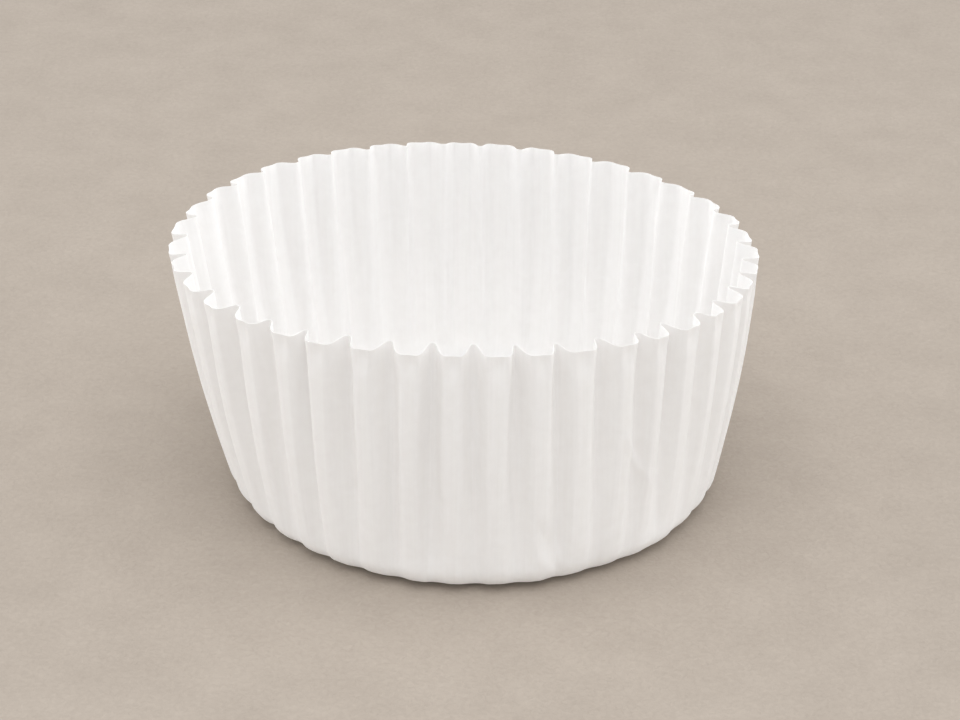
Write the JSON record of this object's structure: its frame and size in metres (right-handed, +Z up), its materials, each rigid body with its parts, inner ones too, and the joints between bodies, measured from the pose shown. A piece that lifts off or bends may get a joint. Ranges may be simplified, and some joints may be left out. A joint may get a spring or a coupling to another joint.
{
  "type": "paper baking cup",
  "caption": "Pleated white paper baking cup: a round sheet pressed to a flat floor and a fluted wall that flares to a scalloped open rim. Lines a muffin tin or holds a bun.",
  "frame": {"origin": "centre of the flat floor, on the underside that it stands on", "axes": "+Z up from the floor to the open rim, -Y the side nearest the viewer in the picture, -X the viewer's left"},
  "size_m": [0.0748, 0.0664, 0.034],
  "materials": {
    "paper": "matt uncoated greaseproof paper"
  },
  "bodies": {
    "root": {"baking_cup": "paper"}
  },
  "joints": []
}
